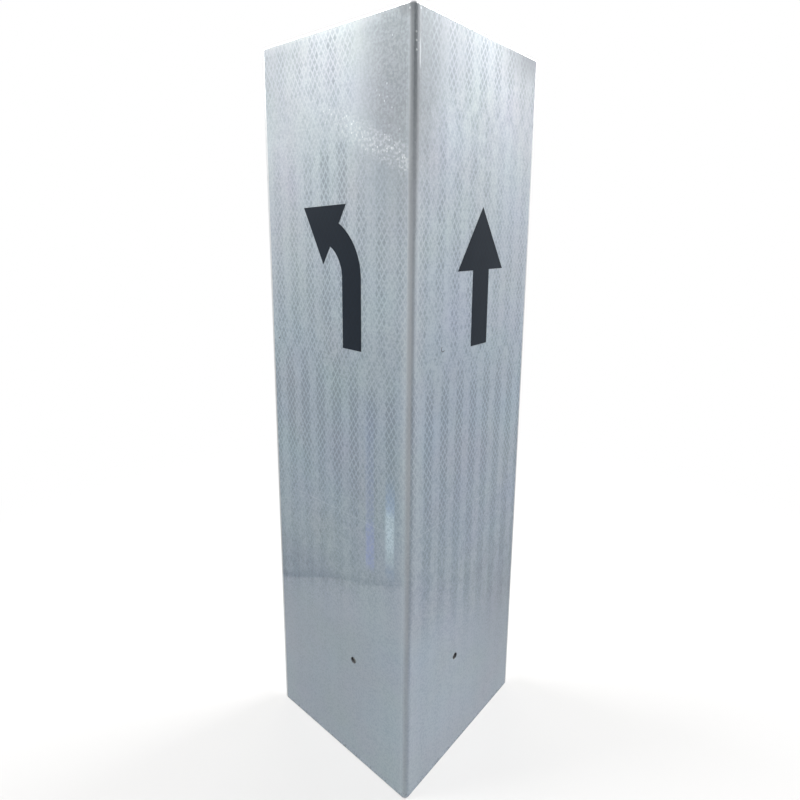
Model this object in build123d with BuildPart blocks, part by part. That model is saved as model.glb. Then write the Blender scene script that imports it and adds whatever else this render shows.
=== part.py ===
from build123d import *
import os
from math import cos, radians, sin, sqrt
from typing import NamedTuple

# A bend warning sign: one aluminium sheet folded to an upright right-angled V, covered with
# reflective film, with a black arrow on each face. Two steel tie bars close the V at the back,
# and a hoop on each bar clamps the sign to a round post that stands inside the V.
# The frame stands on the base: +Z up, the fold towards -Y, the origin under the middle of the box.


class Thread(NamedTuple):
    """The sizes of one metric bolt set."""

    diameter: float
    clearance_hole: float
    across_flats: float
    head_height: float
    nut_height: float
    washer_diameter: float
    washer_thickness: float
    bolt_length: float


# Driving dimensions, in millimetres
sign_height = 600.0
sign_width = 224.0
sheet_thickness = 2.0
sheet_bend_radius = 4.0
return_width = 36.0
return_corner_radius = 8.0

film_thickness = 0.4
film_margin = 1.0

fixing_hole_diameter = 5.5
left_hole_from_fold = 60.0
left_hole_height = 98.5
right_hole_from_fold = 64.0
right_hole_height = 94.5

arrow_thickness = 0.15
arrow_height = 108.0
arrow_middle_height = 425.0
bend_arrow_from_fold = 79.0
straight_arrow_from_fold = 84.0
straight_arrow_width = 62.0
straight_arrow_shaft = 22.0
straight_arrow_head_length = 48.0
bend_arrow_shaft = 20.0
bend_arrow_offset = 21.0
bend_arrow_radius = 36.0
bend_arrow_turn = 60.0
bend_arrow_head_width = 52.0
bend_arrow_head_length = 40.0

post_diameter = 60.3
bar_heights = {"lower": 40.0, "upper": 560.0}
bar_height = 50.0
bar_length = 208.0
bar_thickness = 3.0
bar_corner_radius = 6.0
bar_bolt_spacing = 180.0

hoop_height = 30.0
hoop_thickness = 3.0
hoop_gap = 6.0
hoop_bend_radius = 5.0
hoop_ear_reach = 60.0
hoop_corner_radius = 5.0
hoop_bolt_spacing = 94.0

tie_thread = Thread(
    diameter=6.0,
    clearance_hole=6.6,
    across_flats=10.0,
    head_height=4.0,
    nut_height=5.0,
    washer_diameter=12.0,
    washer_thickness=1.6,
    bolt_length=16.0,
)
hoop_thread = Thread(
    diameter=8.0,
    clearance_hole=9.0,
    across_flats=13.0,
    head_height=5.3,
    nut_height=6.5,
    washer_diameter=16.0,
    washer_thickness=1.6,
    bolt_length=25.0,
)
hex_chamfer = 0.6

# Derived sizes: the faces run at 45 degrees, so a face goes back as far as it goes sideways
slope = sqrt(0.5)
half_width = sign_width / 2
rear_corner = half_width + sqrt(2) * sheet_bend_radius
nose_recess = (sqrt(2) - 1) * sheet_bend_radius
hoop_grip = hoop_thickness + hoop_gap + bar_thickness + hoop_thread.washer_thickness
bolt_reach_behind = hoop_thread.bolt_length - hoop_grip + bar_thickness
total_depth = rear_corner + bolt_reach_behind - nose_recess + film_thickness
fold_y = -total_depth / 2 - nose_recess + film_thickness
rear_y = fold_y + rear_corner
flat_face_end = (half_width - (1 - slope) * sheet_bend_radius) / slope
film_end = flat_face_end - film_margin
post_radius = post_diameter / 2
post_y = rear_y - post_radius
ear_y = rear_y - hoop_gap
fixing_holes = (
    (-1, left_hole_from_fold, left_hole_height),
    (1, right_hole_from_fold, right_hole_height),
)


def face_plane(side, from_fold, height, lift=0.0):
    """A plane on the left (-1) or right (+1) face, drawn on as seen from outside, lifted off the sheet."""
    return Plane(
        origin=(
            side * slope * (from_fold + lift),
            fold_y + slope * (from_fold - lift),
            height,
        ),
        x_dir=(slope, side * slope, 0),
        z_dir=(side * slope, -slope, 0),
    )


def rear_plane(depth, height):
    """A plane across the back of the sign, drawn on as seen from behind."""
    return Plane(origin=(0, depth, height), x_dir=(-1, 0, 0), z_dir=(0, 1, 0))


def pair(spacing):
    """Two places side by side, a spacing apart."""
    return Locations((-spacing / 2, 0), (spacing / 2, 0))


# Folded sheet: return, face, fold, face, return, bent from one strip
with BuildPart() as sign_plate:
    with BuildSketch():
        with BuildLine():
            FilletPolyline(
                (return_width - half_width, rear_y),
                (-rear_corner, rear_y),
                (0, fold_y),
                (rear_corner, rear_y),
                (half_width - return_width, rear_y),
                radius=sheet_bend_radius,
            )
            offset(amount=sheet_thickness, side=Side.LEFT)
        make_face()
    extrude(amount=sign_height)
    fillet(sign_plate.edges().filter_by(Axis.Y), return_corner_radius)
    for side, from_fold, height in fixing_holes:
        with Locations(face_plane(side, from_fold, height)):
            Hole(fixing_hole_diameter / 2, depth=2 * sheet_thickness)
    for height in bar_heights.values():
        with Locations(rear_plane(rear_y, height)):
            with pair(bar_bolt_spacing):
                Hole(tie_thread.clearance_hole / 2, depth=2 * sheet_thickness)


# Reflective film: one piece, wrapped round the fold and trimmed just short of the sheet's edges
with BuildPart() as reflective_sheet:
    with BuildSketch(Plane.XY.offset(film_margin)):
        with BuildLine():
            FilletPolyline(
                (-slope * film_end, fold_y + slope * film_end),
                (0, fold_y),
                (slope * film_end, fold_y + slope * film_end),
                radius=sheet_bend_radius,
            )
            offset(amount=film_thickness, side=Side.RIGHT)
        make_face()
    extrude(amount=sign_height - 2 * film_margin)
    for side, from_fold, height in fixing_holes:
        with Locations(face_plane(side, from_fold, height)):
            Hole(fixing_hole_diameter / 2, depth=2 * film_thickness)


# Left arrow: a shaft that rises, bends to the left and ends in a broad head
with BuildPart() as left_bend_arrow:
    with BuildSketch(face_plane(-1, bend_arrow_from_fold, arrow_middle_height, film_thickness)):
        with BuildLine():
            turn_start = (
                bend_arrow_offset,
                arrow_height / 2 - bend_arrow_head_width / 2 * sin(radians(bend_arrow_turn))
                - bend_arrow_radius * sin(radians(bend_arrow_turn)),
            )
            Line((bend_arrow_offset, -arrow_height / 2), turn_start)
            turn = JernArc(turn_start, (0, 1), bend_arrow_radius, bend_arrow_turn)
        trace(line_width=bend_arrow_shaft)
        head_direction = Vector(-sin(radians(bend_arrow_turn)), cos(radians(bend_arrow_turn)))
        head_across = Vector(cos(radians(bend_arrow_turn)), sin(radians(bend_arrow_turn)))
        Polygon(
            turn @ 1 + head_across * (bend_arrow_head_width / 2),
            turn @ 1 + head_direction * bend_arrow_head_length,
            turn @ 1 - head_across * (bend_arrow_head_width / 2),
            align=None,
        )
    extrude(amount=arrow_thickness)


# Right arrow: straight up
with BuildPart() as right_straight_arrow:
    with BuildSketch(face_plane(1, straight_arrow_from_fold, arrow_middle_height, film_thickness)):
        head_base = arrow_height / 2 - straight_arrow_head_length
        Polygon(
            (-straight_arrow_shaft / 2, -arrow_height / 2),
            (straight_arrow_shaft / 2, -arrow_height / 2),
            (straight_arrow_shaft / 2, head_base),
            (straight_arrow_width / 2, head_base),
            (0, arrow_height / 2),
            (-straight_arrow_width / 2, head_base),
            (-straight_arrow_shaft / 2, head_base),
            align=None,
        )
    extrude(amount=arrow_thickness)


def hex_bolts(thread, spacing, seat, height):
    """A pair of hex bolts pushed in from inside the V, their heads seated at the depth seat."""
    with BuildPart() as bolts:
        with BuildSketch(rear_plane(seat, height)):
            with pair(spacing):
                RegularPolygon(thread.across_flats / 2, 6, major_radius=False)
        extrude(amount=-thread.head_height)
        chamfer(bolts.faces().group_by(Axis.Y)[0].edges(), hex_chamfer)
        with BuildSketch(rear_plane(seat, height)):
            with pair(spacing):
                Circle(thread.diameter / 2)
        extrude(amount=thread.bolt_length)
        chamfer(bolts.faces().group_by(Axis.Y)[-1].edges(), hex_chamfer)
    return bolts


def washers(thread, spacing, inner_seat, outer_seat, height):
    """Plain washers for a pair of bolts: under the heads in front, and under the nuts behind."""
    with BuildPart() as rings:
        for seat, direction in ((inner_seat, -1), (outer_seat, 1)):
            with BuildSketch(rear_plane(seat, height)):
                with pair(spacing):
                    Circle(thread.washer_diameter / 2)
                    Circle(thread.clearance_hole / 2, mode=Mode.SUBTRACT)
            extrude(amount=direction * thread.washer_thickness)
    return rings


def hex_nuts(thread, spacing, seat, height):
    """A pair of hex nuts on the rear side, standing on the depth seat."""
    with BuildPart() as nuts:
        with BuildSketch(rear_plane(seat, height)):
            with pair(spacing):
                RegularPolygon(thread.across_flats / 2, 6, major_radius=False)
        extrude(amount=thread.nut_height)
        chamfer(nuts.faces().filter_by(Axis.Y).edges(), hex_chamfer)
        with BuildSketch(rear_plane(seat, height)):
            with pair(spacing):
                Circle(thread.diameter / 2)
        extrude(amount=thread.nut_height, mode=Mode.SUBTRACT)
    return nuts


os.makedirs("parts", exist_ok=True)

sign_plate.part.label = "sign_plate"
export_step(sign_plate.part, "parts/sign_plate.step")

reflective_sheet.part.label = "reflective_sheet"
export_step(reflective_sheet.part, "parts/reflective_sheet.step")

left_bend_arrow.part.label = "left_bend_arrow"
export_step(left_bend_arrow.part, "parts/left_bend_arrow.step")

right_straight_arrow.part.label = "right_straight_arrow"
export_step(right_straight_arrow.part, "parts/right_straight_arrow.step")

# The rear fixings, the same at both heights
for level, height in bar_heights.items():
    # Tie bar: flat steel across the two returns, which keeps the V square and backs the post
    with BuildPart() as tie_bar:
        with BuildSketch(rear_plane(rear_y, height)):
            RectangleRounded(bar_length, bar_height, bar_corner_radius)
            with pair(bar_bolt_spacing):
                Circle(tie_thread.clearance_hole / 2, mode=Mode.SUBTRACT)
            with pair(hoop_bolt_spacing):
                Circle(hoop_thread.clearance_hole / 2, mode=Mode.SUBTRACT)
        extrude(amount=bar_thickness)
    tie_bar.part.label = f"{level}_tie_bar"
    export_step(tie_bar.part, f"parts/{level}_tie_bar.step")

    # Hoop: steel strap bent round the front of the post, with an ear on each side
    with BuildPart() as post_hoop:
        with BuildSketch(Plane.XY.offset(height - hoop_height / 2)):
            with BuildLine():
                FilletPolyline(
                    (-hoop_ear_reach, ear_y),
                    (-post_radius, ear_y),
                    (-post_radius, post_y),
                    radius=hoop_bend_radius,
                )
                ThreePointArc(
                    (-post_radius, post_y),
                    (0, post_y - post_radius),
                    (post_radius, post_y),
                )
                FilletPolyline(
                    (post_radius, post_y),
                    (post_radius, ear_y),
                    (hoop_ear_reach, ear_y),
                    radius=hoop_bend_radius,
                )
                offset(amount=hoop_thickness, side=Side.RIGHT)
            make_face()
        extrude(amount=hoop_height)
        edges_by_side = post_hoop.edges().filter_by(Axis.Y).group_by(Axis.X)
        fillet(edges_by_side[0] + edges_by_side[-1], hoop_corner_radius)
        with Locations(rear_plane(ear_y, height)):
            with pair(hoop_bolt_spacing):
                Hole(hoop_thread.clearance_hole / 2, depth=2 * hoop_thickness)
    post_hoop.part.label = f"{level}_post_hoop"
    export_step(post_hoop.part, f"parts/{level}_post_hoop.step")

    # Bolt sets: heads inside the V, nuts behind, where a spanner reaches them
    bar_rear = rear_y + bar_thickness
    bolt_sets = (
        ("tie", tie_thread, bar_bolt_spacing, rear_y - sheet_thickness),
        ("hoop", hoop_thread, hoop_bolt_spacing, ear_y - hoop_thickness),
    )
    for use, thread, spacing, clamped_front in bolt_sets:
        head_seat = clamped_front - thread.washer_thickness
        nut_seat = bar_rear + thread.washer_thickness

        bolts = hex_bolts(thread, spacing, head_seat, height)
        bolts.part.label = f"{level}_{use}_bolts"
        export_step(bolts.part, f"parts/{level}_{use}_bolts.step")

        rings = washers(thread, spacing, clamped_front, bar_rear, height)
        rings.part.label = f"{level}_{use}_washers"
        export_step(rings.part, f"parts/{level}_{use}_washers.step")

        nuts = hex_nuts(thread, spacing, nut_seat, height)
        nuts.part.label = f"{level}_{use}_nuts"
        export_step(nuts.part, f"parts/{level}_{use}_nuts.step")
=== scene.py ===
from math import cos, pi, radians, sin, sqrt, tan

import bpy
from mathutils import Matrix, Vector
from mathutils.geometry import delaunay_2d_cdt


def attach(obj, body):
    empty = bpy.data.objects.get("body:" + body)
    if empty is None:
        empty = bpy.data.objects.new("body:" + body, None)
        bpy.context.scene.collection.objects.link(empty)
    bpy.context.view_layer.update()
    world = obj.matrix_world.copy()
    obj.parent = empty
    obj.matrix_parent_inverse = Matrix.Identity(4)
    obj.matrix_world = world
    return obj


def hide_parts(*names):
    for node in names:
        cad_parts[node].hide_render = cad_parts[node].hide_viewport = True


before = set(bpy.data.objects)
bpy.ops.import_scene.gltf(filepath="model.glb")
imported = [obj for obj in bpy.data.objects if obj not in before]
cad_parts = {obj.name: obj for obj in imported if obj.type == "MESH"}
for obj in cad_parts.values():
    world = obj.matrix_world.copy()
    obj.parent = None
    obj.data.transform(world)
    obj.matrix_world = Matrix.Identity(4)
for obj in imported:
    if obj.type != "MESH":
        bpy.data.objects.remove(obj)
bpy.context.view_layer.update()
scene = bpy.context.scene
scene.view_settings.view_transform = "Standard"


# Camera: a wide lens held close in front of the fold, a little above the sign's middle,
# turned slightly to the right and tilted down, as the photograph was taken.
camera_data = bpy.data.cameras.new("photo_camera")
camera_data.sensor_width = 36.0
camera_data.lens = 24.759
camera_data.shift_x = -0.02525
camera_data.shift_y = -0.07918
camera_data.clip_start = 0.01
camera = bpy.data.objects.new("photo_camera", camera_data)
camera.matrix_world = (
    Matrix.Translation((-0.0284, -0.4367, 0.4620))
    @ Matrix.Rotation(radians(-5.417), 4, "Z")
    @ Matrix.Rotation(radians(90 - 11.103), 4, "X")
    @ Matrix.Rotation(radians(0.841), 4, "Z")
)
scene.collection.objects.link(camera)
scene.camera = camera


# Sign plate: 2 mm aluminium sheet, holed flat and then bent on a press brake along three lines
# into an upright V with its rear edges turned in. The sheared edges are rounded off a little.
mm = 0.001
sign_height = 600 * mm
sheet_thickness = 2 * mm
sheet_bend = 4 * mm
sheet_edge = 0.25 * mm
return_flat = 32 * mm
return_corner = 8 * mm
return_free_edge = Vector((-76 * mm, 51 * mm))
face_flat = 152.735 * mm
tie_hole_radius = 3.3 * mm
tie_hole_from_edge = 14 * mm
bar_heights = {"lower": 40 * mm, "upper": 560 * mm}
fixing_hole_radius = 2.75 * mm
fixing_hole_from_bend = {-1: 56 * mm, 1: 60 * mm}
fixing_hole_height = {-1: 98.5 * mm, 1: 94.5 * mm}
fixing_hole_along_face = {-1: 12.867 * mm, 1: 16.867 * mm}
hole_shade_reach = 0.3 * mm
hole_shade_solid = 0.02 * mm
aluminium_dark = (0.50, 0.51, 0.525, 1)
aluminium_light = (0.62, 0.63, 0.642, 1)
aluminium_dull = (0.45, 0.46, 0.465, 1)
hole_shade_tone = (0.07, 0.073, 0.078, 1)


class BentStrip:
    """The outer skin of a strip of bent metal in plan, measured along its length."""

    bend_step = 5.0
    slack = 1e-9

    def __init__(self, start, heading, runs):
        """Each run is a length and the degrees that it turns through, 0 for a flat."""
        self.legs = []
        self.stations = []
        self.length = 0.0
        place = Vector(start)
        heading = radians(heading)
        for length, turn in runs:
            self.legs.append((self.length, length, place, heading, radians(turn)))
            steps = round(abs(turn) / self.bend_step)
            for step in range(steps + 1 if turn else 0):
                self.stations.append(self.length + length * step / steps)
            self.length += length
            place, heading = self.at(self.length)

    def at(self, distance):
        """The place and the heading at a distance along the strip."""
        for begin, length, place, heading, turn in self.legs:
            if distance <= begin + length + self.slack:
                break
        ahead = distance - begin
        if not turn:
            return place + ahead * Vector((cos(heading), sin(heading))), heading
        radius = length / turn
        now = heading + turn * ahead / length
        across = Vector((sin(now) - sin(heading), cos(heading) - cos(now)))
        return place + radius * across, now


def cut_outline(begin, end, lower, upper, corner, stations, corner_steps=6):
    """A round-cornered blank as points with their outward direction, running anticlockwise."""
    bent = [s for s in stations if begin + corner < s < end - corner]
    loop = [(s, lower, 0, -1) for s in bent]
    corners = (
        (end - corner, lower + corner, -90),
        (end - corner, upper - corner, 0),
        (begin + corner, upper - corner, 90),
        (begin + corner, lower + corner, 180),
    )
    for number, (s, z, first) in enumerate(corners):
        for step in range(corner_steps + 1):
            angle = radians(first + 90 * step / corner_steps)
            out = (cos(angle), sin(angle))
            loop.append((s + corner * out[0], z + corner * out[1], *out))
        if number == 1:
            loop += [(s, upper, 0, 1) for s in reversed(bent)]
    return loop


def hole_outline(s, z, radius, steps=40):
    """A round hole as points with their direction out of the metal, running clockwise."""
    angles = [-2 * pi * step / steps for step in range(steps)]
    return [(s + radius * cos(a), z + radius * sin(a), -cos(a), -sin(a)) for a in angles]


def bent_sheet(name, strip, outline, holes, thickness, edge, edge_steps=3):
    """A sheet cut to an outline, holed, rounded along its edges and bent along the strip."""
    profile = []
    for step in range(edge_steps + 1):
        turn = pi / 2 * step / edge_steps
        profile.append((edge * (1 - sin(turn)), edge * (1 - cos(turn)), cos(turn), sin(turn)))
    for inset, depth, facing, sideways in profile[::-1]:
        profile.append((inset, thickness - depth, -facing, sideways))

    points = []
    normals = []
    faces = []
    flat_points = []
    flat_edges = []
    front_index = []
    back_index = []
    for loop in [outline] + [hole_outline(*hole) for hole in holes]:
        count = len(loop)
        first = len(points)
        for inset, depth, facing, sideways in profile:
            for s, z, out_s, out_z in loop:
                place, heading = strip.at(s - inset * out_s)
                along = Vector((cos(heading), sin(heading), 0))
                outward = Vector((sin(heading), -cos(heading), 0))
                points.append(Vector((*place, z - inset * out_z)) - depth * outward)
                side = out_s * along + out_z * Vector((0, 0, 1))
                normals.append((facing * outward + sideways * side).normalized())
        for ring in range(len(profile) - 1):
            upper_ring = first + ring * count
            lower_ring = upper_ring + count
            for i in range(count):
                j = (i + 1) % count
                faces.append((upper_ring + i, lower_ring + i, lower_ring + j, upper_ring + j))
        flat_first = len(flat_points)
        for i, (s, z, out_s, out_z) in enumerate(loop):
            flat_points.append(Vector(((s - edge * out_s) / mm, (z - edge * out_z) / mm)))
            flat_edges.append((flat_first + i, flat_first + (i + 1) % count))
            front_index.append(first + i)
            back_index.append(first + (len(profile) - 1) * count + i)

    # Lines across the blank, along which it bends
    lower_points = [i for i, point in enumerate(outline) if point[3] == -1]
    for i in lower_points:
        for j, point in enumerate(outline):
            if point[3] == 1 and point[0] == outline[i][0]:
                flat_edges.append((i, j))
    made, _, triangles, origin, _, _ = delaunay_2d_cdt(flat_points, flat_edges, [], 0, 1e-6)
    for triangle in triangles:
        middle = sum((made[i] for i in triangle), Vector((0, 0))) / 3
        in_hole = any((middle - Vector((s, z)) / mm).length < radius / mm for s, z, radius in holes)
        if not in_hole:
            corners = [origin[i][0] for i in triangle]
            faces.append([front_index[i] for i in corners])
            faces.append([back_index[i] for i in reversed(corners)])

    mesh = bpy.data.meshes.new(name)
    mesh.from_pydata(points, [], faces)
    mesh.polygons.foreach_set("use_smooth", [True] * len(mesh.polygons))
    mesh.normals_split_custom_set_from_vertices(normals)
    made_piece = bpy.data.objects.new(name, mesh)
    scene.collection.objects.link(made_piece)
    return made_piece


class Signal:
    """What comes out of a node's socket. Arithmetic on it adds Math nodes to the same tree."""

    def __init__(self, tree, socket):
        self.tree = tree
        self.socket = socket

    def math(self, operation, *others):
        """The result of one Math node on this signal and on other signals or numbers."""
        feeds = dict(enumerate((self, *others)))
        return signal(self.tree, "ShaderNodeMath", feeds, operation=operation)

    def __add__(self, other):
        return self.math("ADD", other)

    def __sub__(self, other):
        return self.math("SUBTRACT", other)

    def __rsub__(self, other):
        return self.math("MULTIPLY_ADD", -1.0, other)

    def __mul__(self, other):
        return self.math("MULTIPLY", other)

    def __truediv__(self, other):
        return self.math("DIVIDE", other)

    def __mod__(self, other):
        return self.math("MODULO", other)

    def __abs__(self):
        return self.math("ABSOLUTE")

    def ramp(self, low, high, to_low=0.0, to_high=1.0):
        """A smooth step of this signal from one range to another."""
        feeds = {0: self, 1: low, 2: high, 3: to_low, 4: to_high}
        return signal(self.tree, "ShaderNodeMapRange", feeds, interpolation_type="SMOOTHSTEP")

    def stepped(self, *stops):
        """A level that runs smoothly through stops, each a value of this signal and its level."""
        first, last = stops[0][0], stops[-1][0]
        share = signal(self.tree, "ShaderNodeMapRange", {0: self, 1: first, 2: last})
        bands = add_node(self.tree, "ShaderNodeValToRGB", {0: share})
        bands.color_ramp.interpolation = "EASE"
        for _ in stops[2:]:
            bands.color_ramp.elements.new(0.5)
        for element, (stop, level) in zip(bands.color_ramp.elements, stops):
            element.position = (stop - first) / (last - first)
            element.color = (level, level, level, 1)
        return Signal(self.tree, bands.outputs[0])


def feed(tree, node, feeds):
    """Links signals to a node's inputs, and sets plain values on the inputs themselves."""
    for key, value in feeds.items():
        if isinstance(value, Signal):
            tree.links.new(value.socket, node.inputs[key])
        else:
            node.inputs[key].default_value = value


def add_node(tree, kind, feeds=None, **options):
    """A new node with its options set and its inputs fed."""
    node = tree.nodes.new(kind)
    for option, value in options.items():
        setattr(node, option, value)
    feed(tree, node, feeds or {})
    return node


def signal(tree, kind, feeds=None, output=0, **options):
    """What comes out of one output of a new node."""
    return Signal(tree, add_node(tree, kind, feeds, **options).outputs[output])


def split(whole, kind="ShaderNodeSeparateXYZ"):
    """The three parts of a vector or a colour."""
    return [Signal(whole.tree, output) for output in add_node(whole.tree, kind, {0: whole}).outputs]


def combine(tree, *parts):
    """A vector of up to three parts."""
    return signal(tree, "ShaderNodeCombineXYZ", dict(enumerate(parts)))


def magnitude(vector):
    """The length of a vector."""
    return signal(vector.tree, "ShaderNodeVectorMath", {0: vector}, "Value", operation="LENGTH")


def scaled(vector, scale):
    """Coordinates stretched by a factor for each axis."""
    return signal(vector.tree, "ShaderNodeMapping", {"Vector": vector, "Scale": scale})


def noise(vector, scale, detail, output=0):
    """Cloudy noise from 0 to 1, or its colour."""
    feeds = {"Vector": vector, "Scale": scale, "Detail": detail}
    return signal(vector.tree, "ShaderNodeTexNoise", feeds, output)


def blend(amount, first, second):
    """A colour between two others by an amount from 0 to 1."""
    feeds = {"Factor": amount, "A": first, "B": second}
    return signal(amount.tree, "ShaderNodeMix", feeds, "Result", data_type="RGBA")


def relief(height, strength, distance):
    """Surface normals that make a height show, at most a distance deep."""
    feeds = {"Height": height, "Strength": strength, "Distance": distance}
    return signal(height.tree, "ShaderNodeBump", feeds)


def new_material(look):
    """A material named after a look, which turns a piece's coordinates into its shader's inputs."""
    material = bpy.data.materials.new(look.__name__)
    material.use_nodes = True
    tree = material.node_tree
    tree.nodes.clear()
    coordinates = signal(tree, "ShaderNodeTexCoord", output="Object")
    surface = signal(tree, "ShaderNodeBsdfPrincipled", look(coordinates))
    add_node(tree, "ShaderNodeOutputMaterial", {"Surface": surface})
    return material


def fixing_hole_shade(coordinates):
    """1 on the walls of the two empty fixing holes, which painted shade darkens."""
    x, y, z = split(coordinates)
    along_face = (abs(x) + y) / sqrt(2)
    beside = along_face - x.ramp(-mm, mm, *fixing_hole_along_face.values())
    above = z - x.ramp(-mm, mm, *fixing_hole_height.values())
    from_axis = magnitude(combine(x.tree, beside, above))
    return from_axis.ramp(fixing_hole_radius + hole_shade_reach, fixing_hole_radius + hole_shade_solid)


def mill_aluminium(coordinates):
    """Mill-finish aluminium: a satin metal with fine rolling lines and a few dull handling marks."""
    rolling = noise(scaled(coordinates, (900, 900, 14)), 1.0, 3.0)
    dull = noise(scaled(coordinates, (34, 34, 7)), 1.0, 5.0).ramp(0.42, 0.70)
    tone = blend(rolling, aluminium_dark, aluminium_light)
    tone = blend(dull * 0.30, tone, aluminium_dull)
    # Painted shade on the walls of the fixing holes
    tone = blend(fixing_hole_shade(coordinates), tone, hole_shade_tone)
    return {
        "Base Color": tone,
        "Roughness": rolling * 0.16 + 0.32 + dull * 0.08,
        "Normal": relief(rolling, 0.12, 0.04 * mm),
        "Metallic": 1.0,
    }


plate_strip = BentStrip(
    return_free_edge,
    180,
    (
        (return_flat, 0),
        (sheet_bend * radians(135), 135),
        (face_flat, 0),
        (sheet_bend * radians(90), 90),
        (face_flat, 0),
        (sheet_bend * radians(135), 135),
        (return_flat, 0),
    ),
)
plate_middle = plate_strip.length / 2
fold_half = sheet_bend * radians(45)
plate_holes = []
for side in (-1, 1):
    fixing_place = plate_middle + side * (fold_half + fixing_hole_from_bend[side])
    plate_holes.append((fixing_place, fixing_hole_height[side], fixing_hole_radius))
    tie_place = plate_middle + side * (plate_middle - tie_hole_from_edge)
    for height in bar_heights.values():
        plate_holes.append((tie_place, height, tie_hole_radius))
plate_blank = cut_outline(0, plate_strip.length, 0, sign_height, return_corner, plate_strip.stations)
plate = bent_sheet("folded_plate", plate_strip, plate_blank, plate_holes, sheet_thickness, sheet_edge)
plate.data.materials.append(new_material(mill_aluminium))
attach(plate, "root")
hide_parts("sign_plate")


# Reflective film: one sheet of clear-faced prismatic film, 0.4 mm thick, pressed on to both faces
# and round the fold, and trimmed just short of the plate's edges. Its prisms lie in upright bars
# and are sealed along a fine diamond lattice.
film_thickness = 0.4 * mm
film_edge = 0.12 * mm
film_margin = 1 * mm
film_corner = 1.2 * mm
film_flat = face_flat - film_margin
film_bend = sheet_bend + film_thickness
film_start = Vector((-110.4040 * mm, 43.1811 * mm))

# The pattern, whose places are in millimetres along the faces from the fold and up from the bottom
diamond_width = 5.0
diamond_height = 8.0
seam_height = 233.0
glint_band_height = 503.0
glint_band_slope = 0.47
left_tones = ((0.293, 0.353, 0.404, 1), (0.180, 0.230, 0.274, 1))
right_tones = ((0.298, 0.355, 0.420, 1), (0.182, 0.230, 0.284, 1))
top_sheen_tones = ((0.362, 0.385, 0.403, 1), (0.177, 0.196, 0.219, 1))
seam_tone = (0.44, 0.50, 0.56, 1)
blue_streak = (0.25, 0.31, 0.60, 1)
white_streak = (0.55, 0.68, 0.76, 1)
bluish_streak = (0.30, 0.42, 0.66, 1)
dark_reflection_tone = (0.102, 0.120, 0.135, 1)
sparkle_tone = (0.50, 0.53, 0.55, 1)
glint_tone = (0.78, 0.81, 0.84, 1)
fold_light_tone = (0.46, 0.49, 0.52, 1)
shaded_tone = (0.08, 0.09, 0.10, 1)
fold_top_dark_tone = (0.10, 0.11, 0.12, 1)
fold_glint_tone = (0.62, 0.65, 0.67, 1)
bend_edge_glint_tone = (0.52, 0.57, 0.62, 1)
edge_shade_tone = (0.10, 0.114, 0.136, 1)
top_edge_highlight_tone = (0.50, 0.52, 0.54, 1)
mark_and_hole_shade_tone = (0.06, 0.063, 0.068, 1)


def largest(first, *others):
    """The largest of some signals."""
    for other in others:
        first = first.math("MAXIMUM", other)
    return first


def face_places(coordinates):
    """Millimetres along the two faces, from the fold to the right, and up from the bottom edge."""
    x, _, z = split(coordinates)
    return x * (sqrt(2) / mm), z * (1 / mm)


def diamond_lattice(along, up):
    """Steps along both slopes of the lattice, and the distance to its nearest sealing line."""
    steps_along = along / diamond_width
    steps_up = up / diamond_height
    rising = steps_along + steps_up
    falling = steps_along - steps_up
    to_line = rising.math("PINGPONG", 0.5).math("MINIMUM", falling.math("PINGPONG", 0.5))
    return rising, falling, to_line


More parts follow.
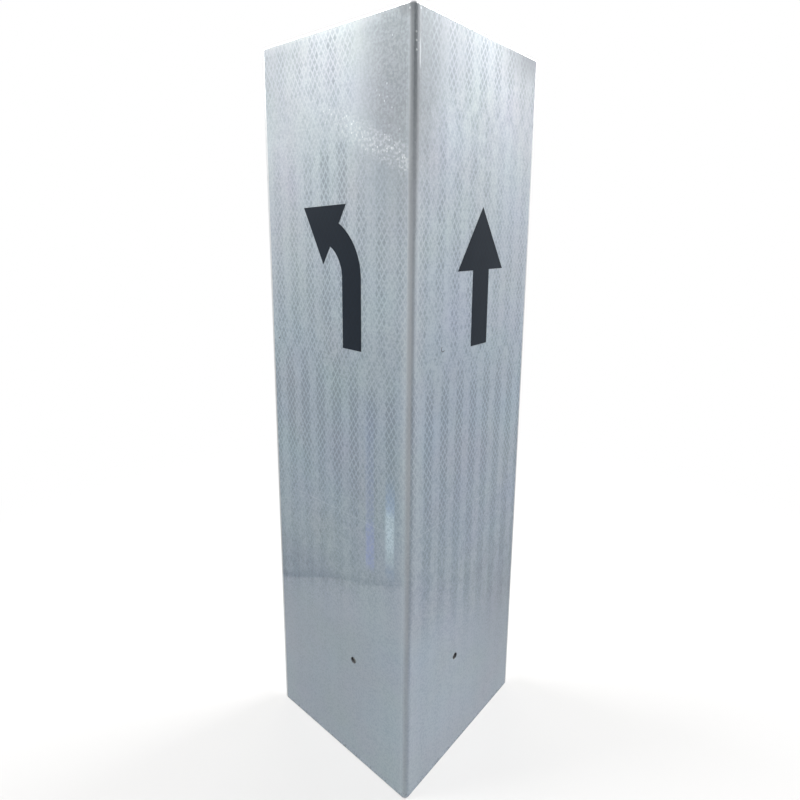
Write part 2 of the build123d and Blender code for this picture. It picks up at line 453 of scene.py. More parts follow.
def prismatic_film(coordinates):
    """Silver-white prisms in bars and diamonds under a clear gloss face."""
    tree = coordinates.tree
    along, up = face_places(coordinates)
    from_fold = abs(along)
    on_right = along.ramp(-1.0, 1.0)
    on_left = 1.0 - on_right

    def by_side(left, right):
        """A value that differs between the left and the right face."""
        return on_right.ramp(0.0, 1.0, left, right)

    def distance_to(at_along, at_up):
        """The distance in the face from a point that is given along the faces and up them."""
        return magnitude(combine(tree, along - at_along, up - at_up))

    # Bars about 10 mm wide, in which the prisms are turned and every second one is darker. In the
    # second block from the top the light and the dark bars change places, and each block's bars
    # fade towards its ends.
    bar_start = by_side(1.2, 3.1)
    two_bars = by_side(19.45, 19.06)
    bar_wave = ((along - bar_start) / two_bars * (2 * pi)).math("COSINE")
    second_block = up.ramp(360.0, 367.0) * up.ramp(550.0, 540.0)
    bar = (bar_wave * (second_block * -2.0 + 1.0)).ramp(-0.45, 0.45)
    left_depth = up.stepped(
        (0, 0.32), (200, 0.28), (235, 0.32), (280, 0.62), (325, 1.10), (356, 0.42), (385, 0.42),
        (430, 0.66), (505, 0.60), (530, 0.20), (562, 0.20), (577, 0.38), (600, 0.38),
    )
    right_depth = up.stepped(
        (0, 0.46), (180, 0.46), (230, 0.60), (280, 0.92), (325, 1.02), (356, 0.46), (385, 0.42),
        (430, 0.56), (480, 0.36), (530, 0.31), (550, 0.36), (574, 0.66), (600, 0.72),
    )
    bar_depth = bar * (left_depth + (right_depth - left_depth) * on_right)
    right_paler = along.stepped((5, 0.06), (30, 0.16), (60, 0.11), (110, 0.07), (145, 0.0))
    right_paler = right_paler * up.stepped((200, 0.0), (300, 1.0), (430, 1.0), (480, 0.0))
    left_paler = up.stepped((155, 0.0), (185, 0.15), (205, 0.15), (235, 0.09), (270, 0.0))
    bar_share = bar_depth + by_side(0.50, 0.36) - right_paler * on_right - left_paler * on_left

    # Diamonds with light sealing lines, each diamond a little lighter or darker. Low down, beside the
    # fold and towards the outer edges they show less. The fading low down, below a slanting line, is a
    # painted washed-out reflection.
    rising, falling, to_line = diamond_lattice(along, up)
    diamond = to_line.ramp(0.0, 0.25)
    cell = combine(tree, rising.math("FLOOR"), falling.math("FLOOR"))
    cell_tone = signal(tree, "ShaderNodeTexWhiteNoise", {"Vector": cell}, noise_dimensions="2D")
    sealed = up.stepped(
        (150, 0.20), (230, 0.60), (290, 0.88), (380, 0.88), (460, 0.85), (505, 0.65), (540, 0.55),
        (570, 0.85), (600, 0.95),
    )
    lattice = 1.0 - sealed * (1.0 - diamond)
    slanted_up = from_fold * 0.42 + up + by_side(0.0, 14.0)
    fading = slanted_up.ramp(by_side(165.0, 145.0), 217.0, by_side(0.18, 0.22), 1.0)
    plain = from_fold.ramp(75.0, 45.0, 0.0, by_side(0.82, 0.10))
    plain = plain * up.stepped((250, 0.0), (380, 0.4), (450, 0.45), (550, 1.0))
    pale_edge = from_fold.ramp(60.0, 130.0, 0.0, by_side(1.0, 0.5))
    pale_edge = pale_edge * up.stepped((380, 0.0), (440, 0.45), (530, 0.55), (570, 0.20), (600, 0.25))
    patterned = 1.0 - (plain + pale_edge)
    grain = noise(coordinates, 650.0, 2.0)
    shade = ((cell_tone - 0.5) * 0.40 + bar_share) * lattice * fading * patterned
    shade = shade + grain.ramp(0.3, 0.7, -1.0, 1.0) * up.stepped((300, 0.29), (560, 0.17))
    tone = blend(on_right, blend(shade, *left_tones), blend(shade, *right_tones))
    # Towards the top a painted sheen turns the film lighter and more neutral
    tone = blend(up.ramp(300.0, 620.0, 0.0, 0.75), tone, blend(shade, *top_sheen_tones))

    # Pastel tints in broad patches, as prisms split the light, and one tile seam across both faces
    tints = add_node(tree, "ShaderNodeTexNoise", {"Vector": coordinates, "Scale": 20.0, "Detail": 2.0})
    tint_feeds = {"Factor": 0.06, "A": tone, "B": Signal(tree, tints.outputs["Color"])}
    tone = signal(
        tree, "ShaderNodeMix", tint_feeds, "Result", data_type="RGBA", blend_type="OVERLAY"
    )
    seam_strength = Signal(tree, tints.outputs[0]).ramp(0.4, 0.6, 0.08, 0.24)
    seam = abs(up - seam_height).ramp(0.9, 0.25) * seam_strength
    tone = blend(seam, tone, seam_tone)

    # Painted light: the turned prisms of two dark bars split the light into upright streaks, painted
    # into the colour, one of them blue and the other white with bluish ends
    blue_stops = ((191, 0.0), (200, 0.35), (228, 0.31), (240, 0.15), (300, 0.08), (345, 0.0))
    white_stops = ((200, 0.0), (211, 0.25), (224, 0.42), (246, 0.39), (254, 0.10), (262, 0.0))
    bluish_stops = ((190, 0.0), (200, 0.14), (212, 0.0), (244, 0.0), (254, 0.26), (286, 0.0))
    streaks = (
        (-40.0, blue_streak, blue_stops),
        (-18.8, white_streak, white_stops),
        (-18.4, bluish_streak, bluish_stops),
    )
    for streak_along, streak_tone, streak_stops in streaks:
        streak = abs(along - streak_along).ramp(5.8, 3.4) * up.stepped(*streak_stops)
        streak = streak * grain.ramp(0.35, 0.65, 0.5, 1.5)
        tone = blend(streak, tone, streak_tone)

    # Towards the top of the fold the film is finely rippled, more on the left face, and a painted dark
    # reflection in mottled tones lies over it. Small facets there catch painted glints, most of them
    # along one slanting band.
    left_ripples_and_dark_reflection = from_fold.ramp(68.0, 18.0) * on_left * up.ramp(420.0, 560.0)
    right_ripples_and_dark_reflection = from_fold.ramp(42.0, 4.0) * on_right * up.ramp(460.0, 560.0)
    ripples_and_dark_reflection = largest(left_ripples_and_dark_reflection, right_ripples_and_dark_reflection)
    mottle = noise(coordinates, 480.0, 2.0)
    tone = blend(ripples_and_dark_reflection * mottle.ramp(0.35, 0.65, 0.79, 0.57), tone, dark_reflection_tone)
    # Painted highlights: a sparkling band and small glinting facets, painted into the colour
    from_band = abs(up - (from_fold * glint_band_slope + glint_band_height))
    in_band = from_band.ramp(14.0, 4.0) * on_left * from_fold.ramp(115.0, 45.0, 0.0, 0.7)
    sparkle = mottle.ramp(0.45, 0.70, 0.10, 0.55) * in_band
    tone = blend(sparkle, tone, sparkle_tone)
    facet_places = scaled(coordinates, (620, 620, 360))
    facets = add_node(tree, "ShaderNodeTexVoronoi", {"Vector": facet_places, "Scale": 1.0})
    facet_turn = split(Signal(tree, facets.outputs["Color"]), "ShaderNodeSeparateColor")[0]
    glinting = largest(in_band * 0.4, ripples_and_dark_reflection * 0.08, up.ramp(480.0, 600.0, 0.0, 0.04))
    glint = Signal(tree, facets.outputs["Distance"]).ramp(0.34, 0.16)
    glint = glint * (glinting - facet_turn).ramp(0.0, 0.1)
    tone = blend(glint * 0.48, tone, glint_tone)

    # Over the fold a painted highlight lightens the film's left half and painted shade darkens its
    # right half, each with its own strength at each height, and a faint painted highlight runs along
    # each edge of the bend. At the top the fold is darker just left of its middle, with a short painted
    # highlight line and a few white painted glints.
    top_line = along.stepped(
        (-5.0, 0.0), (-4.0, 0.28), (-2.8, 0.62), (-1.6, 0.62), (-0.2, 0.55), (1.8, 0.0)
    )
    middle_line = along.stepped(
        (-5.0, 0.0), (-3.0, 0.60), (0.4, 0.74), (2.2, 0.36), (3.6, 0.04), (5.2, 0.21), (9.0, 0.18),
        (18.0, 0.0),
    )
    left_line = along.stepped((-11.0, 0.0), (-6.0, 0.22), (-4.0, 0.40), (-2.0, 0.0))
    fold_painted_light = largest(
        top_line * up.stepped((0, 0.45), (150, 0.55), (300, 0.8), (430, 1.0), (600, 1.0)),
        middle_line * up.stepped((0, 0.3), (80, 0.4), (160, 0.7), (300, 1.0), (450, 1.0), (560, 0.3)),
        left_line * up.stepped(
            (0, 0.2), (80, 0.2), (160, 0.45), (300, 1.0), (390, 0.9), (450, 0.35), (520, 0.0)
        ),
    )
    tone = blend(fold_painted_light, tone, fold_light_tone)
    drift = up.stepped(
        (0, 3.0), (200, 2.8), (343, 2.0), (393, 1.4), (441, 0.9), (480, 0.4), (512, 0.0)
    )
    shaded = (along + drift).stepped(
        (-0.6, 0.0), (0.6, 0.12), (1.6, 0.30), (2.4, 0.50), (3.2, 0.82), (4.4, 0.90), (5.4, 0.62),
        (6.6, 0.40), (8.4, 0.0),
    )
    shaded = shaded * up.stepped(
        (0, 0.08), (150, 0.12), (230, 0.06), (290, 0.06), (343, 0.22), (393, 0.32), (441, 0.36),
        (480, 0.55), (512, 0.65), (542, 0.82), (566, 0.95), (600, 1.05),
    )
    tone = blend(shaded, tone, shaded_tone)
    # Darker at the top of the fold, just left of its middle
    fold_top_darkening = distance_to(-6.0, 598.0).ramp(9.0, 2.0)
    tone = blend(fold_top_darkening * 0.55, tone, fold_top_dark_tone)
    # A painted highlight line and painted glints at the top of the fold
    fold_highlight_line = along.stepped((5.4, 0.0), (6.2, 1.0), (6.7, 1.0), (7.4, 0.0))
    fold_highlight_line = fold_highlight_line * up.stepped((561, 0.0), (566, 0.55), (575, 0.55), (582, 0.15), (600, 0.2))
    fold_glint_places = ((2.4, 582.6), (2.6, 577.6), (2.9, 572.2), (-3.4, 596.0), (6.6, 597.0))
    fold_glints = [distance_to(*glint_spot).ramp(1.0, 0.35) for glint_spot in fold_glint_places]
    tone = blend(largest(fold_highlight_line, *fold_glints) * 0.55, tone, fold_glint_tone)
    # Painted highlights along both edges of the bend
    bend_edge_glint = abs(along - by_side(-5.4, 6.8)).ramp(0.8, 0.2)
    tone = blend(bend_edge_glint * 0.08, tone, bend_edge_glint_tone)

    # Painted shade darkens the outer edges, the top corners, the film beside the top of the fold and
    # the outer parts low down, and a painted highlight lies along the left top edge. Wear: a speck of
    # dirt, a curved scratch and splashes along the bottom edge; painted shade darkens the fixing holes'
    # walls.
    outer_edge = from_fold.ramp(105.0, 150.0) * up.ramp(510.0, 590.0)
    top_corner = from_fold.ramp(80.0, 150.0) * up.ramp(560.0, 602.0, 0.0, by_side(1.5, 3.0))
    by_fold = up.ramp(525.0, 588.0) * along.stepped(
        (0, 0.0), (4, 0.55), (9, 0.42), (16, 0.62), (28, 1.0), (45, 0.85), (85, 0.1)
    )
    low_edge = from_fold.ramp(by_side(-40.0, 40.0), 150.0, 0.0, by_side(1.1, 1.2))
    low_edge = low_edge * up.stepped(
        (0, 0.5), (40, 0.7), (115, 0.88), (160, 0.5), (200, 0.10), (250, 0.0)
    )
    painted_edge_shade = largest(outer_edge, top_corner, by_fold, low_edge)
    tone = blend(painted_edge_shade * 0.30, tone, edge_shade_tone)
    # Painted highlight along the left top edge
    top_edge_highlight = up.ramp(590.0, 600.0, 0.0, 0.20) * along.ramp(0.0, -40.0)
    tone = blend(top_edge_highlight, tone, top_edge_highlight_tone)
    dirt = distance_to(-149.0, 368.0).ramp(1.1, 0.5)
    scratch_radius = 2.1
    scratch = abs(distance_to(37.4, 374.6) - scratch_radius).ramp(0.7, 0.25)
    scratch = scratch * (along + up).ramp(413.2, 411.6)
    splash = grain.ramp(0.52, 0.66) * up.ramp(7.0, 1.0, 0.0, 0.6)
    # Dirt, a scratch and splashes, and painted shade in the fixing holes
    marks_and_hole_shade = largest(dirt * 0.8, scratch * 0.7, splash, fixing_hole_shade(coordinates))
    tone = blend(marks_and_hole_shade, tone, mark_and_hole_shade_tone)

    bar_seen = bar_depth * fading * patterned
    prism_height = grain * 0.8 + diamond * fading * sealed
    face_waves = noise(coordinates, 9.0, 1.0) + mottle * (ripples_and_dark_reflection * 0.05 + 0.002)
    return {
        "Base Color": tone,
        "Roughness": 0.645 - bar_seen * 0.06,
        "Normal": relief(prism_height, 0.22, 0.06 * mm),
        "Metallic": 0.5,
        "Coat Weight": 1.0,
        "Coat Roughness": 0.03,
        "Coat IOR": 1.38,
        "Coat Normal": relief(face_waves, 0.5, 0.6 * mm),
    }


film_strip = BentStrip(
    film_start,
    -45,
    ((film_flat, 0), (film_bend * radians(90), 90), (film_flat, 0)),
)
film_middle = film_strip.length / 2
film_holes = []
for side in (-1, 1):
    fixing_place = film_middle + side * (film_bend * radians(45) + fixing_hole_from_bend[side])
    film_holes.append((fixing_place, fixing_hole_height[side], fixing_hole_radius))
film_blank = cut_outline(
    0,
    film_strip.length,
    film_margin,
    sign_height - film_margin,
    film_corner,
    film_strip.stations,
)
film = bent_sheet("prismatic_film", film_strip, film_blank, film_holes, film_thickness, film_edge, 2)
film.data.materials.append(new_material(prismatic_film))
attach(film, "root")
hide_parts("reflective_sheet")


# Arrows: one cut from black vinyl for each face and rubbed down on the film. The film's lattice
# shows through the thin vinyl as a faint relief.
vinyl_dark = (0.005, 0.010, 0.018, 1)
vinyl_light = (0.009, 0.016, 0.026, 1)
vinyl_pressed = (0.007, 0.009, 0.012, 1)


def black_vinyl(coordinates):
    """Low-gloss black vinyl with the lattice under it pressing through."""
    _, _, to_line = diamond_lattice(*face_places(coordinates))
    diamond = to_line.ramp(0.03, 0.2)
    patches = noise(coordinates, 60.0, 3.0)
    tone = blend(patches, vinyl_dark, vinyl_light)
    tone = blend(diamond * 0.25, tone, vinyl_pressed)
    return {
        "Base Color": tone,
        "Roughness": 0.42,
        "Normal": relief(diamond, 0.3, 0.04 * mm),
        "Specular IOR Level": 0.12,
    }


vinyl = new_material(black_vinyl)
for arrow in ("left_bend_arrow", "right_straight_arrow"):
    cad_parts[arrow].data.materials.clear()
    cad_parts[arrow].data.materials.append(vinyl)


# Tie bars: 50 by 3 mm flat steel, cut, punched and hot-dip galvanised. One at the bottom and one
# at the top are bolted across the turned-in edges and keep the V square.
bar_thickness = 3 * mm
bar_length = 208 * mm
bar_height = 50 * mm
bar_corner = 6 * mm
bar_rear = 54 * mm
steel_edge = 0.4 * mm
tie_bolt_spacing = 180 * mm
hoop_bolt_spacing = 94 * mm
hoop_hole_radius = 4.5 * mm
spangle_wander = (6 * mm, 6 * mm, 6 * mm)
spangle_dark = (0.37, 0.385, 0.40, 1)
spangle_light = (0.50, 0.515, 0.53, 1)
zinc_bloom = (0.46, 0.47, 0.475, 1)


def galvanised_steel(coordinates):
    """Hot-dip zinc: grey spangle patches of differing brightness, with a dull bloom."""
    tree = coordinates.tree
    wander = {0: noise(coordinates, 90.0, 2.0, "Color"), 1: spangle_wander, 2: coordinates}
    bent = signal(tree, "ShaderNodeVectorMath", wander, operation="MULTIPLY_ADD")
    spangle = signal(tree, "ShaderNodeTexVoronoi", {"Vector": bent, "Scale": 150.0}, "Color")
    brightness, coarseness, _ = split(spangle, "ShaderNodeSeparateColor")
    bloom = noise(coordinates, 35.0, 4.0)
    dull = bloom.ramp(0.40, 0.72)
    tone = blend(brightness, spangle_dark, spangle_light)
    tone = blend(dull * 0.55, tone, zinc_bloom)
    return {
        "Base Color": tone,
        "Roughness": coarseness * 0.18 + 0.34 + dull * 0.14,
        "Normal": relief(bloom * 0.7 + brightness, 0.2, 0.06 * mm),
        "Metallic": 0.95,
    }


zinc_coat = new_material(galvanised_steel)
bar_strip = BentStrip(Vector((bar_length / 2, bar_rear)), 180, ((bar_length, 0),))
for level, height in bar_heights.items():
    bar_holes = []
    for side in (-1, 1):
        tie_place = bar_length / 2 + side * tie_bolt_spacing / 2
        hoop_place = bar_length / 2 + side * hoop_bolt_spacing / 2
        bar_holes.append((tie_place, height, tie_hole_radius))
        bar_holes.append((hoop_place, height, hoop_hole_radius))
    bar_lower, bar_upper = height - bar_height / 2, height + bar_height / 2
    bar_blank = cut_outline(0, bar_length, bar_lower, bar_upper, bar_corner, [])
    bar_name = f"{level}_flat_bar"
    tie_bar = bent_sheet(bar_name, bar_strip, bar_blank, bar_holes, bar_thickness, steel_edge)
    tie_bar.data.materials.append(zinc_coat)
    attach(tie_bar, "root")
    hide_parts(f"{level}_tie_bar")


# Post hoops: 30 by 3 mm galvanised strap, bent round the front of a 60 mm post, with an ear on
# each side. The bolts through the ears draw the post back against the tie bar.
hoop_thickness = 3 * mm
hoop_height = 30 * mm
hoop_ear_corner = 5 * mm
hoop_ear_reach = 60 * mm
hoop_ear_front = 42 * mm
hoop_bend = 2 * mm
hoop_round = 33.15 * mm
post_place = 20.85 * mm
hoop_leg = hoop_ear_front - hoop_bend - post_place
hoop_ear = hoop_ear_reach - hoop_round - hoop_bend
hoop_strip = BentStrip(
    Vector((-hoop_ear_reach, hoop_ear_front)),
    0,
    (
        (hoop_ear, 0),
        (hoop_bend * radians(90), -90),
        (hoop_leg, 0),
        (hoop_round * pi, 180),
        (hoop_leg, 0),
        (hoop_bend * radians(90), -90),
        (hoop_ear, 0),
    ),
)
hoop_hole_from_end = hoop_ear_reach - hoop_bolt_spacing / 2
for level, height in bar_heights.items():
    hoop_holes = [
        (hoop_hole_from_end, height, hoop_hole_radius),
        (hoop_strip.length - hoop_hole_from_end, height, hoop_hole_radius),
    ]
    hoop_blank = cut_outline(
        0,
        hoop_strip.length,
        height - hoop_height / 2,
        height + hoop_height / 2,
        hoop_ear_corner,
        hoop_strip.stations,
    )
    hoop_name = f"{level}_strap_hoop"
    hoop = bent_sheet(hoop_name, hoop_strip, hoop_blank, hoop_holes, hoop_thickness, steel_edge)
    hoop.data.materials.append(zinc_coat)
    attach(hoop, "root")
    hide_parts(f"{level}_post_hoop")


# Bolt sets: bright zinc-plated hex bolts, each with two washers and a nut. M6 pairs hold the tie
# bars to the turned-in edges, and M8 pairs draw the hoops to the bars. The heads are inside the V
# and the nuts behind it, where a spanner reaches them.
bolt_sets = {
    "tie": {
        "Spacing": tie_bolt_spacing,
        "Thread": 6 * mm,
        "Pitch": 1 * mm,
        "Across flats": 10 * mm,
        "Head height": 4 * mm,
        "Length": 16 * mm,
        "Nut height": 5 * mm,
        "Washer diameter": 12 * mm,
        "Washer bore": 6.6 * mm,
        "Washer thickness": 1.6 * mm,
        "Head seat": 47.4 * mm,
        "Rear seat": bar_rear,
    },
    "hoop": {
        "Spacing": hoop_bolt_spacing,
        "Thread": 8 * mm,
        "Pitch": 1.25 * mm,
        "Across flats": 13 * mm,
        "Head height": 5.3 * mm,
        "Length": 25 * mm,
        "Nut height": 6.5 * mm,
        "Washer diameter": 16 * mm,
        "Washer bore": 9 * mm,
        "Washer thickness": 1.6 * mm,
        "Head seat": 40.4 * mm,
        "Rear seat": bar_rear,
    },
}
chamfer_angle = radians(30)
chamfered_flat = 0.475
countersink = 0.54
washer_rounding = 0.2 * mm
thread_depth = 0.613
thread_flank = 0.44
thread_crest = 0.07
thread_run_out = 0.6
thread_bedding = 0.05 * mm
weld_distance = 0.002 * mm
crease_angle = radians(28)
plating_bluish = (0.47, 0.51, 0.57, 1)
plating_straw = (0.61, 0.59, 0.50, 1)
plating_scuffed = (0.66, 0.67, 0.68, 1)


def fastener_tree(name, *sizes):
    """A new Geometry Nodes tree with a named input for each size, the seed and the finish."""
    tree = bpy.data.node_groups.new(name, "GeometryNodeTree")
    tree.interface.new_socket("Fasteners", in_out="OUTPUT", socket_type="NodeSocketGeometry")
    for size in ("Spacing", "Height", *sizes):
        tree.interface.new_socket(size, in_out="INPUT", socket_type="NodeSocketFloat")
    tree.interface.new_socket("Seed", in_out="INPUT", socket_type="NodeSocketInt")
    tree.interface.new_socket("Finish", in_out="INPUT", socket_type="NodeSocketMaterial")
    sockets = add_node(tree, "NodeGroupInput").outputs
    return tree, {socket.name: Signal(tree, socket) for socket in sockets}


def turned(tree, profile, turns=1.0, sides=96):
    """Spins a profile of radius and height points round Z. A point may depend on the angle."""
    grid = add_node(tree, "GeometryNodeMeshGrid", {"Size X": 1.0, "Size Y": 1.0})
    share_round, share_down, _ = split(Signal(tree, grid.outputs["UV Map"]))
    turn = share_round * turns * (2 * pi)
    rows = profile(turn)
    columns = signal(tree, "ShaderNodeMath", {0: turns, 1: sides, 2: 1.5}, operation="MULTIPLY_ADD")
    feed(tree, grid, {"Vertices X": columns, "Vertices Y": len(rows)})
    row = share_down * (len(rows) - 1) + 0.5
    picked = []
    for values in zip(*rows):
        switch = add_node(tree, "GeometryNodeIndexSwitch", data_type="FLOAT")
        for _ in rows[2:]:
            switch.index_switch_items.new()
        feed(tree, switch, dict(enumerate((row, *values))))
        picked.append(Signal(tree, switch.outputs[0]))
    radius, height = picked
    place = combine(tree, radius * turn.math("COSINE"), radius * turn.math("SINE"), height)
    shaping = {"Geometry": Signal(tree, grid.outputs["Mesh"]), "Position": place}
    shaped = signal(tree, "GeometryNodeSetPosition", shaping)
    closing = {"Geometry": shaped, "Distance": weld_distance}
    return signal(tree, "GeometryNodeMergeByDistance", closing)


def hex_corner(turn, across_flats):
    """A chamfered hexagon at an angle: its flat top's radius, its side's radius and the side's drop."""
    flat = across_flats * chamfered_flat
    rim = across_flats * 0.5 / (turn % (pi / 3) - pi / 6).math("COSINE")
    return flat, rim, (rim - flat) * tan(chamfer_angle)


def join(tree, pieces):
    """Several meshes as one."""
    joined = add_node(tree, "GeometryNodeJoinGeometry")
    for piece in pieces:
        tree.links.new(piece.socket, joined.inputs[0])
    return Signal(tree, joined.outputs[0])


def set_in_pairs(tree, given, bodies, seats):
    """Puts the bodies on both bolt places of each seat, each turned by chance round its own axis."""
    spacing = given["Spacing"]
    pairs = []
    for seat in seats:
        start = combine(tree, spacing * -0.5, seat, given["Height"])
        line = {"Count": 2, "Start Location": start, "Offset": combine(tree, spacing)}
        pairs.append(signal(tree, "GeometryNodeMeshLine", line))
    putting = {"Points": join(tree, pairs), "Instance": join(tree, bodies), "Rotation": (-pi / 2, 0, 0)}
    put = signal(tree, "GeometryNodeInstanceOnPoints", putting)
    chance = {3: 2 * pi, "Seed": given["Seed"]}
    spin = signal(tree, "FunctionNodeRandomValue", chance, 1, data_type="FLOAT")
    spinning = {"Instances": put, "Rotation": combine(tree, 0.0, 0.0, spin), "Local Space": True}
    spun = signal(tree, "GeometryNodeRotateInstances", spinning)
    real = signal(tree, "GeometryNodeRealizeInstances", {0: spun})
    smooth = signal(tree, "GeometryNodeSetShadeSmooth", {"Geometry": real})
    sharp = signal(tree, "GeometryNodeInputMeshEdgeAngle").math("GREATER_THAN", crease_angle)
    creasing = {"Geometry": smooth, "Selection": sharp, "Shade Smooth": False}
    creased = signal(tree, "GeometryNodeSetShadeSmooth", creasing, domain="EDGE")
    coating = {"Geometry": creased, "Material": given["Finish"]}
    add_node(tree, "NodeGroupOutput", {0: signal(tree, "GeometryNodeSetMaterial", coating)})


def hex_bolt_tree():
    """Hex bolts: a head chamfered on top, a shank with a pointed end, and a thread wound round it."""
    tree, given = fastener_tree(
        "hex_bolts", "Thread", "Pitch", "Across flats", "Head height", "Length", "Head seat"
    )
    pitch, length = given["Pitch"], given["Length"]
    head_top = given["Head height"] * -1.0
    root = given["Thread"] * 0.5 - pitch * thread_depth
    point = pitch * 0.6
    thread_turns = length / pitch - 1.5

    def head(turn):
        flat, rim, drop = hex_corner(turn, given["Across flats"])
        return [(0.0, head_top), (flat, head_top), (rim, head_top + drop), (rim, 0.0), (0.0, 0.0)]

    def shank(turn):
        begin = head_top * 0.5
        tip = root - point * 0.6
        return [(0.0, begin), (root, begin), (root, length - point), (tip, length), (0.0, length)]

    def thread(turn):
        wound = turn / (2 * pi)
        from_end = wound.math("MINIMUM", thread_turns - wound)
        depth = pitch * from_end.ramp(0.0, thread_run_out)
        middle = pitch * (wound + thread_run_out)
        bed = root - thread_bedding
        crest = bed + depth * 0.6
        flank = depth * thread_flank
        crest_half = depth * thread_crest
        return [
            (bed, middle - flank),
            (crest, middle - crest_half),
            (crest, middle + crest_half),
            (bed, middle + flank),
            (bed - depth * 0.3, middle),
            (bed, middle - flank),
        ]

    bodies = [turned(tree, head), turned(tree, shank, sides=48), turned(tree, thread, thread_turns, 36)]
    set_in_pairs(tree, given, bodies, [given["Head seat"]])
    return tree


def plain_washer_tree():
    """Punched washers with slightly rounded rims, one under each head and one under each nut."""
    tree, given = fastener_tree(
        "plain_washers", "Washer diameter", "Washer bore", "Washer thickness", "Head seat", "Rear seat"
    )
    rim = given["Washer diameter"] * 0.5
    bore = given["Washer bore"] * 0.5
    thickness = given["Washer thickness"]

    def ring(turn):
        inner, outer = bore + washer_rounding, rim - washer_rounding
        shoulder = thickness - washer_rounding
        return [
            (inner, 0.0),
            (outer, 0.0),
            (rim, washer_rounding),
            (rim, shoulder),
            (outer, thickness),
            (inner, thickness),
            (bore, shoulder),
            (bore, washer_rounding),
            (inner, 0.0),
        ]

    set_in_pairs(tree, given, [turned(tree, ring)], [given["Head seat"], given["Rear seat"]])
    return tree


def hex_nut_tree():
    """Hex nuts, chamfered on both faces and countersunk at both ends of the thread."""
    tree, given = fastener_tree(
        "hex_nuts", "Thread", "Across flats", "Nut height", "Washer thickness", "Rear seat"
    )
    bore = given["Thread"] * 0.5
    mouth = given["Thread"] * countersink
    sink = mouth - bore
    height = given["Nut height"]

    def ring(turn):
        flat, rim, drop = hex_corner(turn, given["Across flats"])
        return [
            (mouth, 0.0),
            (flat, 0.0),
            (rim, drop),
            (rim, height - drop),
            (flat, height),
            (mouth, height),
            (bore, height - sink),
            (bore, sink),
            (mouth, 0.0),
        ]

    seat = given["Rear seat"] + given["Washer thickness"]
    set_in_pairs(tree, given, [turned(tree, ring)], [seat])
    return tree


def run_tree(name, tree, values):
    """Evaluates a tree with these values by input name, and keeps the result as a plain mesh."""
    carrier = bpy.data.objects.new(name, bpy.data.meshes.new(name))
    scene.collection.objects.link(carrier)
    modifier = carrier.modifiers.new("making", "NODES")
    modifier.node_group = tree
    for socket in tree.interface.items_tree:
        if socket.in_out == "INPUT":
            modifier[socket.identifier] = values[socket.name]
    evaluated = carrier.evaluated_get(bpy.context.evaluated_depsgraph_get())
    mesh = bpy.data.meshes.new_from_object(evaluated)
    carrier.modifiers.remove(modifier)
    carrier.data = mesh
    mesh.name = name
    return carrier


def zinc_plating(coordinates):
    """Bright zinc: a bluish metal with faint straw tints and fine handling scratches."""
    tints = noise(coordinates, 170.0, 2.0).ramp(0.36, 0.66)
    scratches = noise(scaled(coordinates, (2600, 500, 900)), 1.0, 3.0)
    tone = blend(tints, plating_bluish, plating_straw)
    tone = blend(scratches.ramp(0.5, 0.75) * 0.4, tone, plating_scuffed)
    return {
        "Base Color": tone,
        "Roughness": scratches * 0.22 + 0.16,
        "Normal": relief(scratches, 0.15, 0.03 * mm),
        "Metallic": 1.0,
    }


plating = new_material(zinc_plating)
fastener_trees = {"bolts": hex_bolt_tree(), "washers": plain_washer_tree(), "nuts": hex_nut_tree()}
seed = 0
for level, height in bar_heights.items():
    for use, sizes in bolt_sets.items():
        for kind, tree in fastener_trees.items():
            seed += 1
            values = {**sizes, "Height": height, "Seed": seed, "Finish": plating}
            fastener_set = run_tree(f"{level}_{use}_{kind}_set", tree, values)
            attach(fastener_set, "root")
            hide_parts(f"{level}_{use}_{kind}")


# Stage: a pale floor that fades into a white backdrop, with a soft box above on each side and
# one behind. Pale cloths in front, behind and on the floor round the sign are seen by gloss alone
# and give it a room to mirror. The floor cloth on the left has a dark, wavy hem.
stage_reach = 8.0
floor_drop = -0.4 * mm
floor_grey = (0.62, 0.62, 0.62, 1)
stage_white = (1, 1, 1, 1)
lamp_tone = (1.0, 0.985, 0.965)


def white_to_the_lens(tree):
    """1 for rays from the camera, from gloss or through glass, which see the background white."""
    path = add_node(tree, "ShaderNodeLightPath")
    kinds = ("Is Camera Ray", "Is Glossy Ray", "Is Transmission Ray")
    return largest(*(Signal(tree, path.outputs[kind]) for kind in kinds))


def glow(tree, strength):
    """White light of a strength."""
    return signal(tree, "ShaderNodeEmission", {"Color": stage_white, "Strength": strength})


def stage_plane(name, corners):
    """A flat four-cornered plane of the stage, and the coordinates in its still empty material."""
    mesh = bpy.data.meshes.new(name)
    mesh.from_pydata(corners, [], [(0, 1, 2, 3)])
    plane = bpy.data.objects.new(name, mesh)
    scene.collection.objects.link(plane)
    finish = bpy.data.materials.new(name)
    finish.use_nodes = True
    finish.node_tree.nodes.clear()
    mesh.materials.append(finish)
    return plane, signal(finish.node_tree, "ShaderNodeTexCoord", output="Object")


floor_corners = [
    (-stage_reach, -stage_reach, floor_drop),
    (stage_reach, -stage_reach, floor_drop),
    (stage_reach, stage_reach, floor_drop),
    (-stage_reach, stage_reach, floor_drop),
]
_, floor_place = stage_plane("pale_floor", floor_corners)
floor_tree = floor_place.tree
floor_white = white_to_the_lens(floor_tree) * magnitude(floor_place).ramp(0.15, 0.8, 0.58, 1.0)
floor_paint = signal(floor_tree, "ShaderNodeBsdfDiffuse", {"Color": floor_grey})
floor_feeds = {0: floor_white, 1: floor_paint, 2: glow(floor_tree, 1.0)}
floor_look = signal(floor_tree, "ShaderNodeMixShader", floor_feeds)
add_node(floor_tree, "ShaderNodeOutputMaterial", {"Surface": floor_look})

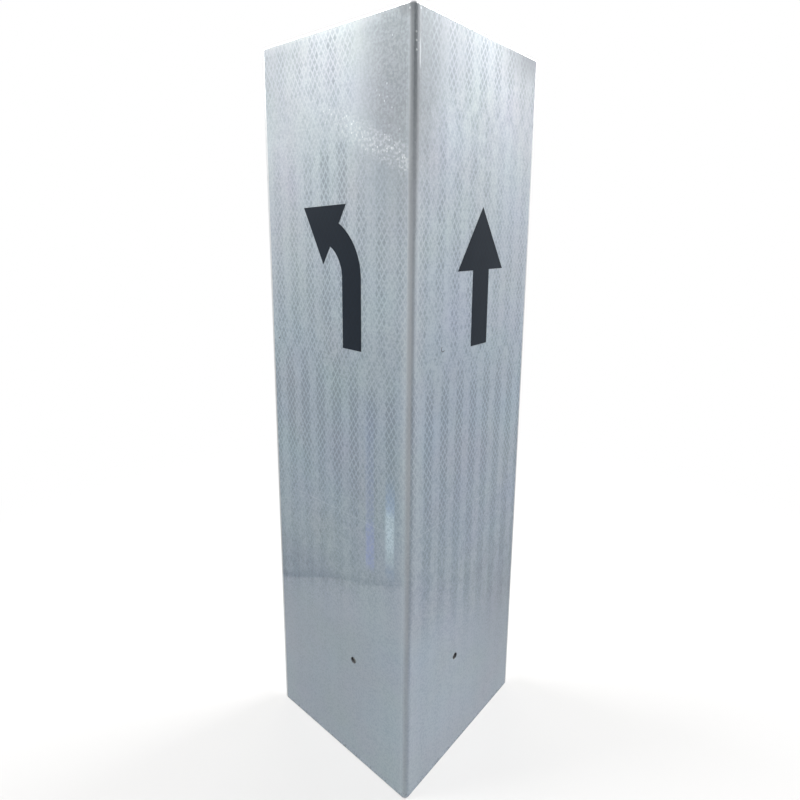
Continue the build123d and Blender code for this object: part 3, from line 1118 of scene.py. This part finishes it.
world = bpy.data.worlds.new("studio")
scene.world = world
world.use_nodes = True
world_tree = world.node_tree
world_tree.nodes.clear()
world_level = white_to_the_lens(world_tree).ramp(0.0, 1.0, 0.18, 1.0)
backdrop = signal(world_tree, "ShaderNodeBackground", {"Color": stage_white, "Strength": world_level})
add_node(world_tree, "ShaderNodeOutputWorld", {"Surface": backdrop})

near_drop = -0.2 * mm
cloths = (
    (
        "front_cloth",
        (1, 0, 0),
        ((-1.2, 1.0), (0.4, 0.75)),
        [(-2, -2.5, 0), (2, -2.5, 0), (2, -2.5, 3), (-2, -2.5, 3)],
    ),
    (
        "rear_cloth",
        (1, 0, 0),
        ((-1.0, 0.30), (1.0, 0.30)),
        [(2, 2.5, 0), (-2, 2.5, 0), (-2, 2.5, 3), (2, 2.5, 3)],
    ),
    (
        "near_cloth",
        (1, 0, 0),
        ((-0.30, 0.96), (-0.22, 0.94), (-0.12, 0.80), (0.12, 0.86), (0.29, 0.80)),
        [
            (-0.109, -1, near_drop),
            (0.29, -1, near_drop),
            (0.29, 0.12, near_drop),
            (-0.3164, 0.12, near_drop),
        ],
    ),
    (
        "left_cloth",
        (-1, -0.185, 0),
        ((0.2744, 0.96), (0.2979, 0.96), (0.2989, 0.12), (0.325, 0.60), (0.70, 0.78)),
        [(-2, -1, 0), (-0.0894, -1, 0), (-0.5519, 1.5, 0), (-2, 1.5, 0)],
    ),
    (
        "right_cloth",
        (1, 0, 0),
        ((0.29, 0.80), (0.42, 0.76), (0.75, 0.82)),
        [(0.29, -1, 0), (2, -1, 0), (2, 1.5, 0), (0.29, 1.5, 0)],
    ),
    (
        "rear_floor_cloth",
        (0, 1, 0),
        ((0.12, 0.80), (0.9, 0.45)),
        [(-0.29, 0.12, 0), (0.29, 0.12, 0), (0.29, 2.4, 0), (-0.29, 2.4, 0)],
    ),
)
left_hem = (
    (-0.090, 0.0040),
    (-0.066, 0.0122),
    (-0.040, 0.0112),
    (-0.012, 0.0062),
    (0.006, 0.0),
    (0.022, 0.0),
    (0.050, 0.0032),
    (0.075, 0.0040),
)
for name, across, stops, corners in cloths:
    cloth, cloth_place = stage_plane(name, corners)
    cloth_tree = cloth_place.tree
    measuring = {0: cloth_place, 1: across}
    over = signal(cloth_tree, "ShaderNodeVectorMath", measuring, "Value", operation="DOT_PRODUCT")
    if name == "left_cloth":
        _, behind, _ = split(cloth_place)
        over = over + behind.stepped(*left_hem)
    cloth_look = glow(cloth_tree, over.stepped(*stops))
    add_node(cloth_tree, "ShaderNodeOutputMaterial", {"Surface": cloth_look})
    cloth.visible_camera = False
    cloth.visible_diffuse = False
    cloth.visible_transmission = False
    cloth.visible_shadow = False

soft_boxes = (
    ("left_soft_box", (-1.2, 0.20, 1.31), (-0.05, 0.0, 0.55), 1.0, 0.4, 36.0),
    ("right_soft_box", (1.2, 0.28, 1.31), (0.05, 0.0, 0.55), 1.0, 0.4, 40.0),
    ("rear_soft_box", (0.0, 1.3, 1.6), (0.0, 0.05, 0.3), 1.2, 0.8, 8.0),
)
for name, place, target, width, depth, power in soft_boxes:
    lamp = bpy.data.lights.new(name, "AREA")
    lamp.shape = "RECTANGLE"
    lamp.size = width
    lamp.size_y = depth
    lamp.energy = power
    lamp.color = lamp_tone
    lamp_object = bpy.data.objects.new(name, lamp)
    aim = Vector(target) - Vector(place)
    lamp_object.location = place
    lamp_object.rotation_mode = "QUATERNION"
    lamp_object.rotation_quaternion = aim.to_track_quat("-Z", "Y")
    scene.collection.objects.link(lamp_object)
